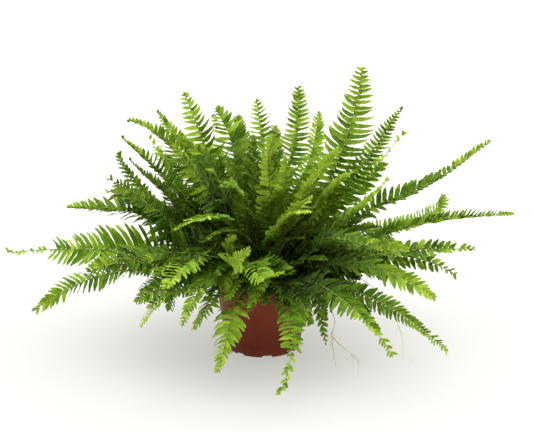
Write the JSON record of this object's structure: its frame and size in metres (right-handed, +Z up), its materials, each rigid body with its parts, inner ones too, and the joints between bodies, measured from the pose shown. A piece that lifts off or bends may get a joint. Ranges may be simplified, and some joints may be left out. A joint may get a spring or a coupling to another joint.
{
  "type": "potted fern",
  "caption": "Bushy sword fern with arching feathered fronds, growing in a tapered round plastic nursery pot with a collar and notched feet.",
  "frame": {"origin": "centre of the pot's foot ring, on the surface that the pot stands on", "axes": "+Z up along the pot's axis, +X to the right as the plant is seen from the front, +Y to the back"},
  "size_m": [0.7, 0.5245, 0.39],
  "materials": {
    "pot_plastic": "smooth moulded, satin",
    "potting_soil": "moist crumbs, matte",
    "frond_green": "waxy leaf, satin",
    "frond_young": "waxy young leaf, satin",
    "frond_deep": "waxy older leaf, satin",
    "runner_tan": "dry fibrous stem, matte"
  },
  "bodies": {
    "root": {"pot": "pot_plastic", "soil": "potting_soil", "frond_left_long": "frond_young", "frond_left_low_arch": "frond_green", "frond_left_mid": "frond_green", "frond_left_upturned": "frond_deep", "frond_left_upturned_low": "frond_deep", "frond_left_back_low": "frond_deep", "frond_left_straight_high": "frond_green", "frond_left_straight_low": "frond_deep", "frond_left_high_a": "frond_green", "frond_left_high_b": "frond_green", "frond_left_wisp": "frond_young", "frond_left_top": "frond_young", "frond_top_dark": "frond_green", "frond_top_left": "frond_young", "frond_top_centre": "frond_green", "frond_top_back": "frond_young", "frond_top_tall": "frond_green", "frond_right_top_b": "frond_green", "frond_right_top_c": "frond_young", "frond_right_small": "frond_young", "frond_right_long_high": "frond_green", "frond_right_long_mid": "frond_green", "frond_right_upturned": "frond_young", "frond_right_low_a": "frond_green", "frond_right_low_b": "frond_green", "frond_right_low_c": "frond_young", "frond_right_front_low": "frond_green", "frond_right_front_b": "frond_green", "frond_right_under": "frond_young", "frond_front_hanging_right": "frond_young", "frond_right_light": "frond_green", "frond_centre_tip_a": "frond_young", "frond_centre_tip_b": "frond_young", "frond_front_tip_a": "frond_young", "frond_front_tip_b": "frond_young", "frond_front_left_a": "frond_young", "frond_front_left_b": "frond_green", "frond_front_left_c": "frond_young", "frond_front_hanging_left": "frond_young", "frond_front_left_arch": "frond_young", "frond_front_left_light": "frond_young", "frond_left_under": "frond_deep", "frond_centre_left_big": "frond_green", "frond_centre_up_a": "frond_young", "frond_centre_up_b": "frond_young", "frond_centre_right_a": "frond_green", "frond_back_right_low": "frond_green", "frond_back_right": "frond_green", "frond_back_low_a": "frond_green", "frond_back_low_b": "frond_deep", "frond_back_left": "frond_green", "frond_back_left_low": "frond_deep", "frond_back_high_right": "frond_green", "frond_back_high": "frond_young", "frond_back_high_left": "frond_green", "runner_front_right": "runner_tan", "runner_right": "runner_tan", "runner_left": "runner_tan"}
  },
  "joints": []
}
